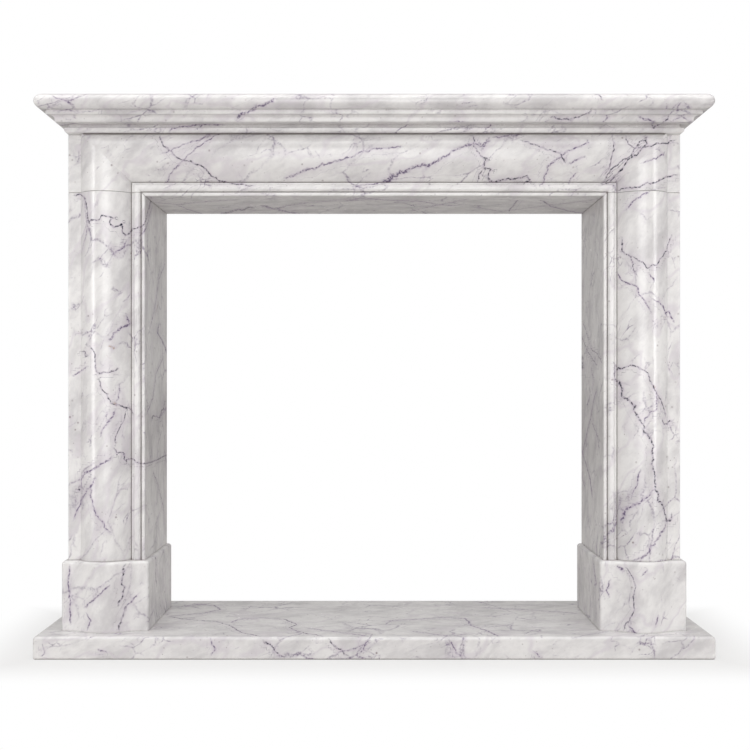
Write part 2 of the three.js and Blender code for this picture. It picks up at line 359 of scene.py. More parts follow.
def hearth_grids():
    """Levels go in by a quarter round at the foot and at the top, and are straight between."""
    low, high = stone_box["hearth"]
    start, end = low[2] + HEARTH_FOOT_ARRIS, high[2] - HEARTH_TOP_ARRIS
    straight = np.linspace(start, end, HEARTH_FACE_STEPS + 1)[1:-1]
    edge = np.concatenate([
        arc((HEARTH_FOOT_ARRIS, start), (HEARTH_FOOT_ARRIS,) * 2, 270, 180, 4),
        np.stack([0 * straight, straight], axis=-1),
        arc((HEARTH_TOP_ARRIS, end), (HEARTH_TOP_ARRIS,) * 2, 180, 90, 6),
    ])
    return course_grids([
        (plan_sides(low[0] + inset, high[0] - inset, low[1] + inset,
                    HEARTH_CORNER, LENGTH_STEPS, back=high[1]), z)
        for inset, z in edge
    ])


hearth = make_stone("hearth", hearth_grids())

# %% [markdown]
# Each plinth is a block whose front swells to carry the bolection above it. A bow in plan is one more term in
# the outline's front side, so the same stack of outlines makes it.

# %% Plinths
PLINTH_ARRIS, PLINTH_CORNER = 6.5, 5.0
BOW_WIDTH, BOW_RISE = 152.0, 25.0
PLINTH_FACE_STEPS = 28


def plinth_grids():
    """Right plinth: its front swells in a raised cosine, and its top edge goes in by a quarter round."""
    low, high = stone_box["plinth_right"]
    middle = (low[0] + high[0]) / 2

    def swell(x):
        return BOW_RISE * np.cos(np.clip(np.pi * (x - middle) / BOW_WIDTH, -np.pi / 2, np.pi / 2)) ** 2

    straight = np.linspace(low[2], high[2] - PLINTH_ARRIS, PLINTH_FACE_STEPS + 1)[:-1]
    edge = np.concatenate([
        np.stack([0 * straight, straight], axis=-1),
        arc((PLINTH_ARRIS, high[2] - PLINTH_ARRIS), (PLINTH_ARRIS,) * 2, 180, 90, 6),
    ])
    front = FRONT + SETBACK["plinth"]
    return course_grids([
        (plan_sides(low[0] + inset, high[0] - inset, front + inset, PLINTH_CORNER, BOW_STEPS, swell), z)
        for inset, z in edge
    ])


right_plinth = make_stone("plinth_right", plinth_grids())
left_plinth = make_stone("plinth_left", mirrored(plinth_grids()))

# %% [markdown]
# The bed moulding and the shelf carry their mouldings round both ends and the front, with a flat back.
# A profile swept along a path would need its corners mended, but stacked outlines mitre them by themselves.

# %% Bed moulding and shelf
BED_INNER, BED_LIP, BED_LIP_FOOT, BED_LIP_TOP = 56.5, 49.5, 5.0, 9.5
COVE_LIP, COVE_LIP_FOOT, COVE_LIP_TOP, COVE_OUTER, COVE_TOP = 34.0, 2.0, 6.0, 23.0, 12.5
BAND_FACE, BAND_ARRIS = 19.5, 1.5
SLAB = 30.0
SHELF_CORNER, MOULDING_CORNER = 6.0, 2.5


def bed_edge(foot, top):
    """(setback, z): an ovolo under the lip, the lip, and a hollow quarter round drawn back to the top."""
    hollow = BED_INNER - BED_LIP
    return np.concatenate([
        arc((BED_INNER, foot + BED_LIP_FOOT), (hollow, BED_LIP_FOOT), 270, 180, 8),
        arc((BED_LIP, foot + BED_LIP_TOP + hollow), (hollow, hollow), 270, 360, 10),
        [(BED_INNER, top)],
    ])


def shelf_edge(foot, top):
    """(setback, z): a rounded lip, a cove, a plain band and a half-round nose."""
    nose = SLAB / 2
    return np.concatenate([
        arc((COVE_LIP + COVE_LIP_FOOT, foot + COVE_LIP_FOOT), (COVE_LIP_FOOT,) * 2, 270, 180, 5),
        arc((COVE_OUTER, foot + COVE_LIP_TOP), (COVE_LIP - COVE_OUTER, COVE_TOP - COVE_LIP_TOP), 0, 90, 10),
        arc((BAND_FACE + BAND_ARRIS, foot + COVE_TOP + BAND_ARRIS), (BAND_ARRIS,) * 2, 270, 180, 4),
        [(BAND_FACE, top - SLAB)],
        arc((nose, top - nose), (nose, nose), 270, 90, 24),
    ])


def moulded_course(node, edge):
    """The edge carried round both ends and the front of the course."""
    foot, top = stone_box[node][:, 2]
    half = stone_box["shelf"][1, 0]
    slab_foot = stone_box["shelf"][1, 2] - SLAB
    return course_grids([
        (plan_sides(setback - half, half - setback, FRONT + setback,
                    MOULDING_CORNER if z < slab_foot else SHELF_CORNER, LENGTH_STEPS), z)
        for setback, z in edge(foot, top)
    ])


bed_moulding = make_stone("bed_moulding", moulded_course("bed_moulding", bed_edge))
shelf = make_stone("shelf", moulded_course("shelf", shelf_edge))
stones = [hearth, left_plinth, right_plinth, left_jamb, right_jamb, lintel, bed_moulding, shelf]

# %% [markdown]
# ## The main veins
# The eye knows a marble by its few strong veins, so each of those lies where the photograph shows it.
# A vein is a crack that filled before the stone was quarried: a crooked sheet that runs on into the block.
# Here it is a path on the face where it shows best, and the sheet goes in behind that face with a slant.
# Every point of the mesh then keeps how far it is from the sheet, for the polish to draw the vein with.

# %% Paths of the veins
# Tone, width in mm, and the corners of the path in pixels of the photograph.
LINTEL_VEINS_PX = [
    ("dark", 3.4, [(159, 134), (163, 147), (171, 153), (181, 161), (190, 162), (203, 167), (213, 176),
                   (221, 179), (233, 181), (256, 184)]),
    ("violet", 4.0, [(284, 176), (314, 168), (347, 159), (371, 151), (400, 149)]),
    ("violet", 4.5, [(350, 183), (390, 174), (432, 166), (459, 152), (472, 147), (482, 155)]),
    ("dark", 3.6, [(470, 134), (473, 138), (472, 147), (478, 155), (484, 160), (482, 167), (490, 169),
                   (488, 174), (491, 180), (503, 178), (517, 177), (528, 175), (530, 178), (522, 183)]),
    ("violet", 7.0, [(491, 137), (487, 145), (480, 155)]),
    ("dark", 3.0, [(482, 167), (480, 174), (482, 183)]),
    ("violet", 4.0, [(522, 133), (491, 138)]),
    ("dark", 3.0, [(518, 140), (529, 145), (547, 152), (556, 154), (565, 165)]),
    ("violet", 4.0, [(565, 165), (574, 162), (585, 156)]),
    ("violet", 4.0, [(586, 140), (588, 145), (572, 152), (558, 160), (547, 167), (544, 176), (538, 183)]),
    ("violet", 3.0, [(568, 183), (577, 170)]),
    ("dark", 3.6, [(645, 133), (645, 147), (635, 159), (628, 161), (622, 169), (608, 177), (597, 183)]),
    ("dark", 3.2, [(676, 139), (656, 144), (645, 147), (635, 149), (629, 144), (626, 137), (627, 134)]),
    ("dark", 3.0, [(643, 138), (635, 149), (629, 160), (623, 162), (611, 169), (606, 174), (602, 180)]),
    ("dark", 2.8, [(611, 135), (611, 149), (609, 161), (608, 167), (603, 176)]),
    ("violet", 3.6, [(667, 152), (656, 156), (635, 164)]),
    ("dark", 3.4, [(617, 189), (636, 187), (646, 183), (653, 184), (666, 176), (680, 172)]),
    ("violet", 3.0, [(222, 128), (205, 144), (189, 157), (176, 168), (162, 181)]),
    ("violet", 2.6, [(160, 150), (180, 141), (213, 133)]),
]
SOFFIT_VEINS_PX = [
    ("violet", 4.5, [(152, 202), (178, 204), (205, 201), (240, 199)]),
    ("violet", 4.0, [(272, 208), (300, 203), (345, 199), (392, 197)]),
    ("violet", 3.6, [(408, 211), (440, 204), (470, 198)]),
    ("dark", 3.6, [(517, 199), (513, 205), (508, 211)]),
    ("violet", 3.6, [(470, 206), (500, 211), (540, 206), (595, 199)]),
]
SHELF_VEINS_PX = [
    ("violet", 5.0, [(280, 98), (267, 104), (236, 114), (226, 119)]),
    ("dark", 3.4, [(547, 118), (554, 117), (561, 120), (569, 120), (579, 117), (589, 113), (593, 106)]),
    ("dark", 3.0, [(594, 94), (602, 97), (606, 104)]),
    ("dark", 3.2, [(670, 113), (667, 118), (662, 123)]),
    ("violet", 3.5, [(635, 113), (643, 116), (655, 119)]),
    ("violet", 3.5, [(451, 112), (486, 117), (488, 122)]),
    ("violet", 3.0, [(51, 98), (60, 103), (75, 108)]),
]
BED_VEINS_PX = [
    ("violet", 4.0, [(226, 122), (177, 125), (168, 132)]),
    ("violet", 3.5, [(488, 122), (485, 131)]),
    ("dark", 3.2, [(662, 123), (653, 128), (650, 124)]),
]
LEFT_JAMB_VEINS_PX = [
    ("dark", 3.4, [(71, 196), (83, 196), (86, 200), (86, 210), (88, 220), (97, 218), (103, 213), (109, 215),
                   (113, 216), (110, 222), (114, 227), (121, 224), (122, 233), (127, 236), (133, 229),
                   (140, 228), (144, 224), (152, 205), (155, 203)]),
    ("violet", 3.0, [(127, 238), (125, 246), (109, 255)]),
    ("dark", 7.0, [(82, 349), (88, 355)]),
    ("dark", 3.2, [(89, 347), (96, 359), (97, 373), (100, 378), (115, 373), (120, 367)]),
    ("violet", 3.4, [(89, 366), (78, 370), (71, 375)]),
    ("violet", 4.0, [(124, 311), (125, 323), (118, 331), (108, 342)]),
    ("ochre", 6.0, [(110, 343), (118, 346)]),
    ("dark", 2.8, [(100, 378), (113, 404), (125, 406), (130, 415)]),
    ("violet", 3.4, [(119, 382), (118, 397), (114, 404)]),
    ("ochre", 5.0, [(112, 402), (118, 407)]),
    ("violet", 3.4, [(117, 409), (108, 425), (102, 437)]),
    ("dark", 2.6, [(127, 410), (121, 425), (115, 434), (114, 445)]),
    ("dark", 3.0, [(113, 444), (116, 452), (122, 452), (124, 459), (130, 458), (133, 462), (145, 464),
                   (150, 475), (152, 485)]),
    ("violet", 5.0, [(116, 453), (101, 462), (85, 473), (79, 481), (77, 494)]),
    ("dark", 8.0, [(79, 486), (81, 493)]),
    ("violet", 4.0, [(95, 472), (92, 481), (85, 491), (79, 508), (72, 523)]),
    ("violet", 4.0, [(92, 481), (92, 495), (97, 510), (102, 516), (108, 526), (113, 534)]),
]
RIGHT_JAMB_VEINS_PX = [
    ("violet", 4.0, [(650, 191), (631, 202), (626, 212)]),
    ("dark", 2.8, [(622, 234), (623, 249), (629, 256), (632, 269), (636, 278)]),
    ("dark", 2.8, [(629, 256), (640, 264), (644, 269), (655, 267), (667, 248), (673, 229)]),
    ("violet", 3.6, [(616, 276), (621, 283), (635, 282), (640, 291), (652, 307)]),
    ("violet", 3.6, [(650, 298), (662, 305), (665, 312), (671, 312), (676, 322)]),
    ("violet", 3.0, [(644, 269), (652, 281)]),
    ("dark", 4.2, [(615, 363), (616, 377), (623, 388), (623, 396), (634, 405), (633, 409), (637, 418),
                   (641, 424), (642, 431), (649, 436), (649, 441), (652, 445), (649, 450), (651, 456),
                   (649, 462), (652, 473), (653, 480), (653, 486), (656, 497), (662, 506), (667, 522),
                   (672, 521), (674, 513)]),
    ("dark", 3.2, [(613, 357), (621, 361), (624, 366), (630, 366), (643, 376), (649, 390), (658, 403),
                   (667, 417)]),
    ("violet", 3.4, [(641, 424), (647, 413), (656, 408), (654, 386)]),
    ("ochre", 5.0, [(652, 383), (656, 390)]),
    ("dark", 2.8, [(659, 417), (663, 424), (677, 413)]),
    ("violet", 4.4, [(653, 486), (638, 498), (627, 508), (624, 515), (622, 526)]),
    ("violet", 3.4, [(638, 472), (636, 484), (629, 501)]),
    ("violet", 4.0, [(667, 522), (645, 554), (629, 561)]),
]
RIGHT_REVEAL_VEINS_PX = [
    ("dark", 3.0, [(581, 335), (587, 351), (597, 366)]),
    ("dark", 2.6, [(582, 320), (591, 349), (596, 352), (602, 363)]),
    ("violet", 3.0, [(597, 388), (592, 402), (590, 418), (586, 434), (583, 452), (582, 478), (585, 490)]),
    ("violet", 3.0, [(590, 366), (593, 380), (592, 392)]),
    ("violet", 2.6, [(591, 420), (597, 436), (599, 452)]),
]
LEFT_REVEAL_VEINS_PX = [
    ("violet", 3.0, [(152, 205), (147, 222), (143, 236)]),
    ("violet", 3.0, [(165, 262), (158, 280), (155, 304), (149, 330)]),
    ("dark", 2.6, [(152, 470), (158, 486), (164, 512)]),
    ("violet", 3.0, [(163, 356), (156, 372), (152, 398), (146, 415)]),
]
LEFT_PLINTH_VEINS_PX = [
    ("dark", 3.0, [(124, 563), (121, 581), (123, 593), (118, 607)]),
    ("violet", 4.0, [(68, 568), (67, 588), (69, 609), (69, 630)]),
    ("dark", 3.0, [(125, 602), (122, 616), (118, 631)]),
    ("violet", 3.6, [(110, 584), (92, 600), (83, 609)]),
    ("violet", 3.6, [(85, 611), (91, 620), (86, 631)]),
    ("violet", 3.0, [(141, 592), (127, 605), (124, 612)]),
]
RIGHT_PLINTH_VEINS_PX = [
    ("violet", 8.0, [(616, 567), (625, 572)]),
    ("violet", 3.4, [(614, 580), (609, 593), (613, 601)]),
    ("dark", 2.8, [(624, 567), (630, 571), (635, 579), (637, 584), (633, 595), (634, 601), (633, 612),
                   (626, 622), (623, 631)]),
    ("violet", 3.4, [(642, 567), (635, 578)]),
    ("violet", 3.4, [(626, 622), (638, 633)]),
    ("violet", 3.4, [(657, 614), (653, 629)]),
]
HEARTH_TOP_VEINS_PX = [
    ("dark", 4.0, [(168, 616), (188, 619), (216, 621), (230, 625), (241, 632), (260, 636)]),
    ("violet", 4.5, [(230, 623), (237, 619), (262, 617), (273, 618)]),
    ("dark", 3.6, [(273, 618), (285, 619), (296, 624), (289, 627), (296, 631), (324, 636)]),
    ("violet", 4.5, [(165, 616), (200, 613), (220, 609), (214, 605), (191, 603)]),
    ("violet", 4.0, [(303, 627), (370, 636)]),
    ("violet", 4.5, [(380, 621), (441, 617), (465, 618), (471, 625), (486, 630), (498, 636)]),
    ("violet", 4.0, [(479, 607), (524, 609), (579, 613)]),
    ("violet", 3.5, [(408, 630), (450, 636)]),
]
HEARTH_FRONT_VEINS_PX = [
    ("dark", 4.2, [(260, 638), (273, 648), (278, 655), (285, 658)]),
    ("dark", 3.6, [(327, 638), (340, 650), (349, 657)]),
    ("violet", 4.0, [(370, 638), (358, 655)]),
    ("violet", 3.4, [(209, 638), (214, 648), (211, 657)]),
    ("violet", 3.4, [(95, 648), (108, 652)]),
    ("violet", 3.0, [(42, 643), (44, 652), (39, 658)]),
    ("violet", 3.4, [(448, 638), (461, 658)]),
    ("violet", 3.0, [(532, 650), (541, 658)]),
]
VEINS_PX = [
    LINTEL_VEINS_PX, SOFFIT_VEINS_PX, SHELF_VEINS_PX, BED_VEINS_PX, LEFT_JAMB_VEINS_PX, RIGHT_JAMB_VEINS_PX,
    RIGHT_REVEAL_VEINS_PX, LEFT_REVEAL_VEINS_PX, LEFT_PLINTH_VEINS_PX, RIGHT_PLINTH_VEINS_PX,
    HEARTH_TOP_VEINS_PX, HEARTH_FRONT_VEINS_PX,
]
print(sum(len(veins) for veins in VEINS_PX), "paths on", len(VEINS_PX), "faces")

# %% [markdown]
# A path was read in pixels, so each of its corners is carried along the line of sight from the camera to the
# face that it lies on. The path then gets small kinks, and every point of the stone its distance from it.
# The distances are kept on the mesh as attributes, so the vein is as sharp as the shader wants.

# %% From the photograph to the stone
EYE = np.array([0.0, FRONT - EYE_DISTANCE, EYE_HEIGHT])
KINK_SPACING, KINK = 7.0, 1.3
TAPER = 14.0
HALO = 11.0
SLANT = 0.35
FAR = 6.0
AXES = {"side": 0, "front": 1, "top": 2}
seeded = np.random.default_rng(7)


def seen_on(path_px, facing, plane):
    """Where the sight lines through the pixels' middles meet a plane that faces the side, front or top."""
    across, down = ((np.array(path_px) + 0.5 - VANISHING_POINT_PX) / FOCAL_LENGTH_PX).T
    sight = np.stack([across, 0 * across + 1, -down], axis=-1)
    axis = AXES[facing]
    return EYE + sight * ((plane - EYE[axis]) / sight[:, axis])[:, None]


def jagged(path):
    """The path with a corner every few millimetres, each moved a little by the seeded generator."""
    walked = np.append(0, np.cumsum(np.linalg.norm(np.diff(path, axis=0), axis=1)))
    marks = spread(walked, KINK_SPACING)
    fine = np.stack([np.interp(marks, walked, axis) for axis in path.T], axis=-1)
    return fine + seeded.normal(0, KINK, fine.shape)


def distance_from(path, points):
    """Signed distance of each point from the nearest stretch of the path, and how far along that lies."""
    run = np.diff(path, axis=0)
    length = np.linalg.norm(run, axis=1)
    offset = points[:, None] - path[:-1]
    share = np.clip((offset * run).sum(axis=-1) / length**2, 0, 1)
    distance = np.linalg.norm(offset - share[..., None] * run, axis=-1)
    nearest = distance.argmin(axis=1)
    row = np.arange(len(points))
    turn = run[nearest, 0] * offset[row, nearest, 1] - run[nearest, 1] * offset[row, nearest, 0]
    along = np.append(0, np.cumsum(length))[nearest] + share[row, nearest] * length[nearest]
    return np.where(turn < 0, -1, 1) * distance[row, nearest], along, length.sum()


def lay_veins(stone, facing, plane, veins_px, depth):
    """Adds to the vein attributes: distance in half widths, strength of the line, strength of its halo."""
    mesh = stone.data
    points = np.empty(3 * len(mesh.vertices))
    mesh.vertices.foreach_get("co", points)
    points = points.reshape(-1, 3) / MM
    axis = AXES[facing]
    flat = [i for i in range(3) if i != axis]
    behind = points[:, axis] - plane
    for number, (tone, width, path_px) in enumerate(veins_px):
        path = jagged(seen_on(path_px, facing, plane)[:, flat])
        slant = seeded.normal(0, SLANT, 2)
        shown = points[:, flat] - slant * behind[:, None]
        near = np.all((shown > path.min(axis=0) - 4 * HALO) & (shown < path.max(axis=0) + 4 * HALO), axis=1)
        near = np.flatnonzero(near & (np.abs(behind) < depth))
        distance, along, length = distance_from(path, shown[near])
        strength = np.clip(np.minimum(along, length - along) / min(TAPER, length / 3), 0, 1)
        strength *= np.clip(depth - np.abs(behind[near]), 0, 1)
        field = np.stack([
            np.clip(2 * distance / width, -FAR, FAR), strength, strength * np.exp(-((distance / HALO) ** 2)),
        ], axis=-1)
        name = tone + "_" + str(number % 2)
        store = mesh.attributes.get(name) or mesh.attributes.new(name, "FLOAT_VECTOR", "POINT")
        kept = np.empty(3 * len(points))
        store.data.foreach_get("vector", kept)
        kept = kept.reshape(-1, 3)
        kept[kept[:, 1] == 0, 0] = FAR
        closer = np.abs(field[:, 0]) < np.abs(kept[near, 0])
        kept[near[closer], :2] = field[closer, :2]
        kept[near, 2] = np.maximum(kept[near, 2], field[:, 2])
        store.data.foreach_set("vector", kept.reshape(-1))
    print(stone.name, facing, len(veins_px), "veins")


FACE_PLANE = FRONT + SETBACK["frame"] - BOLECTION_RISE / 2
THROUGH = 400.0
SKIN, SOFFIT_SKIN = 12.0, 4.0
lay_veins(lintel, "front", FACE_PLANE, LINTEL_VEINS_PX, THROUGH)
lay_veins(lintel, "top", LINTEL_FOOT, SOFFIT_VEINS_PX, SOFFIT_SKIN)
lay_veins(shelf, "front", FRONT + SLAB / 3, SHELF_VEINS_PX, THROUGH)
lay_veins(bed_moulding, "front", FRONT + BED_LIP, BED_VEINS_PX, THROUGH)
lay_veins(left_jamb, "front", FACE_PLANE, LEFT_JAMB_VEINS_PX, THROUGH)
lay_veins(right_jamb, "front", FACE_PLANE, RIGHT_JAMB_VEINS_PX, THROUGH)
lay_veins(right_jamb, "side", OPENING_HALF, RIGHT_REVEAL_VEINS_PX, SKIN)
lay_veins(left_jamb, "side", -OPENING_HALF, LEFT_REVEAL_VEINS_PX, SKIN)
lay_veins(left_plinth, "front", FRONT + SETBACK["plinth"] - BOW_RISE / 2, LEFT_PLINTH_VEINS_PX, THROUGH)
lay_veins(right_plinth, "front", FRONT + SETBACK["plinth"] - BOW_RISE / 2, RIGHT_PLINTH_VEINS_PX, THROUGH)
lay_veins(hearth, "top", stone_box["hearth"][1, 2], HEARTH_TOP_VEINS_PX, SKIN)
lay_veins(hearth, "front", FRONT, HEARTH_FRONT_VEINS_PX, SKIN)

# %% [markdown]
# ## Polished marble
# Polished veined marble: a neutral white ground, grey clouds along the bedding where clay was mixed in,
# nets of lilac hairlines, and crooked main veins that are strings of dark crystals in a lilac smear.
# The polish is a smooth, hard gloss, so lamps show as soft streaks along the crests of the mouldings.
# Everything is worked out in the block's own millimetres, so a pattern goes round each corner of the stone.
# An image could be laid over each face instead, but it would break at every arris.

# %% Colours and nodes
def linear(hex_colour):
    """The linear colour of an sRGB hex value: the sRGB curve undone for each channel."""
    srgb = np.array([int(hex_colour[i : i + 2], 16) for i in (1, 3, 5)]) / 255
    return (*np.where(srgb <= 0.04045, srgb / 12.92, ((srgb + 0.055) / 1.055) ** 2.4), 1.0)


def add_node(tree, kind, inputs=(), **settings):
    """Adds a shader node with its settings, sets or links its inputs by name or number, gives its outputs."""
    node = tree.nodes.new("ShaderNode" + kind)
    for key, value in settings.items():
        setattr(node, key, value)
    for key, value in dict(inputs).items():
        if isinstance(value, bpy.types.NodeSocket):
            tree.links.new(value, node.inputs[key])
        else:
            node.inputs[key].default_value = value
    return node.outputs


GROUND, CLOUD, HAZE = linear("#e9e7e6"), linear("#ccc9ca"), linear("#cfc7cf")
LILAC, VIOLET, DARK = linear("#b4a6ba"), linear("#685a78"), linear("#1d1f33")
# The last colour here is the brown-grey of the painted shade in creases.
OCHRE, SPECK, CREASE_SHADE = linear("#a98f74"), linear("#7d6b70"), linear("#6e635b")
print("ground in linear light", np.round(GROUND[:3], 3))

# %% [markdown]
# The beds of the stone were laid flat, then folded and cracked. So the place in the block is first pushed
# about by a slow noise (the folds) and a quick one (the crooks), and then squeezed along the beds, which
# draws every pattern read there out into streaks.

# %% Block and beds
FOLDS = ((130.0, 60.0), (15.0, 8.0))
BED_SQUEEZE = (0.42, 1.0, 1.0)


def lay_beds(add, tilt, shift):
    """Place in the block in mm, turned and moved, and that place plus reach * (noise - 1/2), squeezed."""
    place = add("TexCoord")["Object"]
    turn = {"Location": shift, "Rotation": np.radians(tilt), "Scale": (1 / MM,) * 3}
    block = add("Mapping", {"Vector": place, **turn})[0]
    beds = block
    for size, reach in FOLDS:
        push = add("TexNoise", {"Vector": block, "Scale": 1 / size, "Detail": 3.0})["Color"]
        push = add("VectorMath", {0: push, 1: (0.5,) * 3}, operation="SUBTRACT")[0]
        beds = add("VectorMath", {0: push, 1: (reach,) * 3, 2: beds}, operation="MULTIPLY_ADD")[0]
    return block, add("VectorMath", {0: beds, 1: BED_SQUEEZE}, operation="MULTIPLY")[0]


print(len(FOLDS), "sizes of fold, in mm", FOLDS)

# %% [markdown]
# The ground of the marble isn't one white. Clay greys it in clouds and wisps along the beds, a lilac haze
# runs through it in broad streaks, and small dark minerals lie in swarms. Each is a noise or a cell pattern
# with its size in millimetres, laid over the last.

# %% Clouds and specks
CLOUD_SIZE, STREAK_SIZE, WISP_SIZE = 62.0, 95.0, 17.0
SWARM_SIZE = 60.0
SPECKS = ((17.0, 0.62), (8.0, 0.7))


def draw_clouds(add, beds):
    """Ground, grey where a noise or its wisps are high, hazed where a slow noise passes its middle."""
    cloud = {"Vector": beds, "Scale": 1 / CLOUD_SIZE, "Detail": 6.0, "Roughness": 0.62}
    cloud = {"Value": add("TexNoise", cloud)["Fac"], "From Min": 0.42, "From Max": 0.7}
    cloud = add("MapRange", cloud, interpolation_type="SMOOTHSTEP")[0]
    colour = add("Mix", {"Factor": cloud, 6: GROUND, 7: CLOUD}, data_type="RGBA")[2]
    slow = add("TexNoise", {"Vector": beds, "Scale": 1 / STREAK_SIZE, "Detail": 2.0})["Fac"]
    slow = add("Math", {0: slow, 1: 0.5}, operation="SUBTRACT")[0]
    slow = add("Math", {0: slow}, operation="ABSOLUTE")[0]
    streak = {"Value": slow, "From Min": 0.03, "From Max": 0.0, "To Max": 0.45}
    streak = add("MapRange", streak, interpolation_type="SMOOTHSTEP")[0]
    colour = add("Mix", {"Factor": streak, 6: colour, 7: HAZE}, data_type="RGBA")[2]
    wisp = add("TexNoise", {"Vector": beds, "Scale": 1 / WISP_SIZE, "Detail": 4.0, "Roughness": 0.65})["Fac"]
    wisp = add("MapRange", {"Value": wisp, "From Min": 0.48, "From Max": 0.75, "To Max": 0.45})[0]
    return add("Mix", {"Factor": wisp, 6: colour, 7: CLOUD}, data_type="RGBA")[2]


def draw_specks(add, block, colour):
    """Dots round the seeds of small cells, in the cells whose own random number is high, and in swarms."""
    swarm = add("TexNoise", {"Vector": block, "Scale": 1 / SWARM_SIZE, "Detail": 2.0})["Fac"]
    swarm = add("MapRange", {"Value": swarm, "From Min": 0.42, "From Max": 0.66, "To Max": 0.8})[0]
    for spacing, rarity in SPECKS:
        cells = add("TexVoronoi", {"Vector": block, "Scale": 1 / spacing})
        dot = add("MapRange", {"Value": cells["Distance"], "From Min": 0.17, "From Max": 0.06})[0]
        number = add("SeparateXYZ", {0: cells["Color"]})["X"]
        chosen = add("Math", {0: number, 1: rarity}, operation="GREATER_THAN")[0]
        dot = add("Math", {0: dot, 1: chosen}, operation="MULTIPLY")[0]
        dot = add("Math", {0: dot, 1: swarm}, operation="MULTIPLY")[0]
        colour = add("Mix", {"Factor": dot, 6: colour, 7: SPECK}, data_type="RGBA")[2]
    return colour


print("clouds of", CLOUD_SIZE, "mm, specks", SPECKS[0][0], "and", SPECKS[1][0], "mm apart")

# %% [markdown]
# A vein shows as a string of dark crystals in a paler, lilac smear. The crystals are a fine noise that breaks
# the line into beads. Real ones are about a millimetre across, which is too fine to show in a picture of the
# whole mantel, so they are drawn a few times coarser.

# %% Hairlines and main veins
BEAD_SIZE, JITTER_SIZE, JITTER = 4.2, 6.0, 3.4
HAIRLINE_NETS = ((88.0, 1.7, 0.46), (44.0, 1.2, 0.52), (22.0, 1.0, 0.56))
CORES = {"violet": VIOLET, "ochre": OCHRE, "dark": DARK}
# How far out a smear and a core reach, in line widths or half widths, and how strong they are.
HAIRLINE_SMEAR, HAIRLINE_CORE = (1.8, 0.3), (1.0, 0.7)
VEIN_SMEAR, VEIN_CORE, VEIN_HAZE = (2.0, 0.45), (1.0, 1.0), 0.35


def draw_hairlines(add, block, beds, beads, colour):
    """Walls of three nets of cells, thin and smeared, each shown where a noise is over its start."""
    for cell, width, start in HAIRLINE_NETS:
        wall = add("TexVoronoi", {"Vector": beds, "Scale": 1 / cell}, feature="DISTANCE_TO_EDGE")["Distance"]
        where = add("TexNoise", {"Vector": block, "Scale": 0.5 / cell, "Detail": 3.0})["Fac"]
        where = add("MapRange", {"Value": where, "From Min": start, "From Max": start + 0.16})[0]
        for (reach, strength), shade in ((HAIRLINE_SMEAR, LILAC), (HAIRLINE_CORE, VIOLET)):
            edges = {"From Min": reach * width / cell, "From Max": 0.2 * width / cell, "To Max": strength}
            line = add("MapRange", {"Value": wall, **edges}, interpolation_type="SMOOTHSTEP")[0]
            line = add("Math", {0: line, 1: where}, operation="MULTIPLY")[0]
            if shade is VIOLET:
                line = add("Math", {0: line, 1: beads}, operation="MULTIPLY")[0]
            colour = add("Mix", {"Factor": line, 6: colour, 7: shade}, data_type="RGBA")[2]
    return colour


def draw_main_veins(add, block, beads, colour):
    """For each vein attribute (distance, strength, halo): a haze by the halo, a smear and a beaded core."""
    jitter = add("TexNoise", {"Vector": block, "Scale": 1 / JITTER_SIZE, "Detail": 3.0})["Fac"]
    jitter = add("MapRange", {"Value": jitter, "To Min": -JITTER / 2, "To Max": JITTER / 2})[0]
    for tone, core in CORES.items():
        for number in range(2):
            field = add("Attribute", attribute_name=tone + "_" + str(number))["Vector"]
            field = add("SeparateXYZ", {0: field})
            haze = add("Math", {0: field[2], 1: VEIN_HAZE}, operation="MULTIPLY")[0]
            colour = add("Mix", {"Factor": haze, 6: colour, 7: HAZE}, data_type="RGBA")[2]
            away = add("Math", {0: field[0], 1: jitter}, operation="ADD")[0]
            away = add("Math", {0: away}, operation="ABSOLUTE")[0]
            for (reach, strength), shade in ((VEIN_SMEAR, LILAC), (VEIN_CORE, core)):
                line = {"Value": away, "From Min": reach, "From Max": 0.3, "To Max": strength}
                line = add("MapRange", line, interpolation_type="SMOOTHSTEP")[0]
                line = add("Math", {0: line, 1: field[1]}, operation="MULTIPLY")[0]
                if shade is core:
                    line = add("Math", {0: line, 1: beads}, operation="MULTIPLY")[0]
                colour = add("Mix", {"Factor": line, 6: colour, 7: shade}, data_type="RGBA")[2]
    return colour


print(len(HAIRLINE_NETS), "nets of hairlines, main veins in", ", ".join(CORES))

# %% [markdown]
# Painted shade: where an occlusion test finds the stone sheltered, in creases, hollows and joints, the colour
# is darkened and browned. The polish itself is hard and even. Its crystals are under a millimetre, too fine
# to show here, so the mottle that varies tone, gloss and bump is drawn coarser, at nine millimetres.

# %% Marble
CREASE_SHADE_REACH, CREASE_SHADE_SHARE = 8.0, 0.7
MOTTLE_SIZE = 9.0


